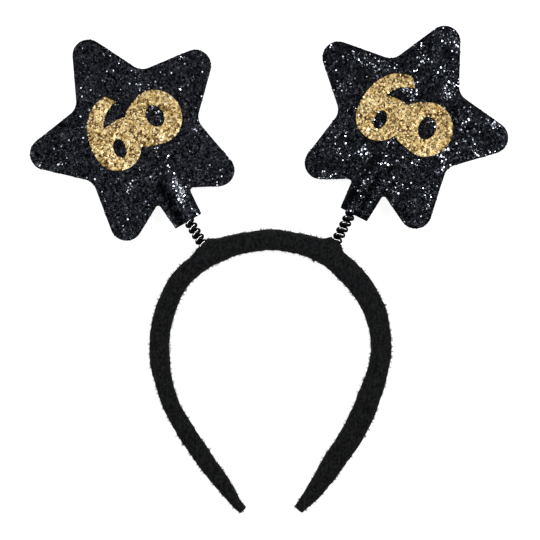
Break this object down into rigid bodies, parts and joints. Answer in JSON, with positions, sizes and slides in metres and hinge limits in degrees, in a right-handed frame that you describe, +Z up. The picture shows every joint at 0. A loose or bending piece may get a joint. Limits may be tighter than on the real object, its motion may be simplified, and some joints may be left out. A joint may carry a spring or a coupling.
{
  "type": "star headband",
  "caption": "Felt-covered hair band carrying glitter stars with gold numbers on coil springs at its crown, so that the stars bob when the wearer moves.",
  "frame": {"origin": "on the surface it lies on, under the middle of the object's box", "axes": "+Z up, away from the surface and out of the stars' fronts; +Y from the band's ends to the stars; +X to the right of someone looking at the stars' fronts"},
  "size_m": [0.2629, 0.2681, 0.014],
  "materials": {
    "black_felt": "matte black felt with short loose fibres",
    "black_wire": "black lacquered spring wire",
    "black_glitter": "black sheet covered with black and smoke-grey glitter flakes",
    "gold_glitter": "pale gold glitter flakes on a gold sheet"
  },
  "bodies": {
    "band": {"band": "black_felt"},
    "left_spring": {"spring_left": "black_wire"},
    "left_star": {"star_left_front": "black_glitter", "star_left_back": "black_glitter", "numeral_left": "gold_glitter"},
    "right_spring": {"spring_right": "black_wire"},
    "right_star": {"star_right_front": "black_glitter", "star_right_back": "black_glitter", "numeral_right": "gold_glitter"}
  },
  "joints": [
    {"name": "left_rock", "type": "hinge", "parent": "band", "child": "left_spring", "pos_m": [-0.03871, 0.01718, 0.007], "axis": [0, 0, 1], "range_deg": [-15, 15], "stiffness_Nm_per_rad": 0.2, "deforming": ["spring_left"]},
    {"name": "left_nod", "type": "hinge", "parent": "left_spring", "child": "left_star", "pos_m": [-0.04248, 0.02355, 0.007], "axis": [0.8607, 0.509, 0], "range_deg": [-25, 25], "stiffness_Nm_per_rad": 0.2, "deforming": ["spring_left"]},
    {"name": "right_rock", "type": "hinge", "parent": "band", "child": "right_spring", "pos_m": [0.03912, 0.02017, 0.007], "axis": [0, 0, 1], "range_deg": [-15, 15], "stiffness_Nm_per_rad": 0.2, "deforming": ["spring_right"]},
    {"name": "right_nod", "type": "hinge", "parent": "right_spring", "child": "right_star", "pos_m": [0.04289, 0.0274, 0.007], "axis": [0.8866, -0.4625, 0], "range_deg": [-25, 25], "stiffness_Nm_per_rad": 0.2, "deforming": ["spring_right"]}
  ]
}
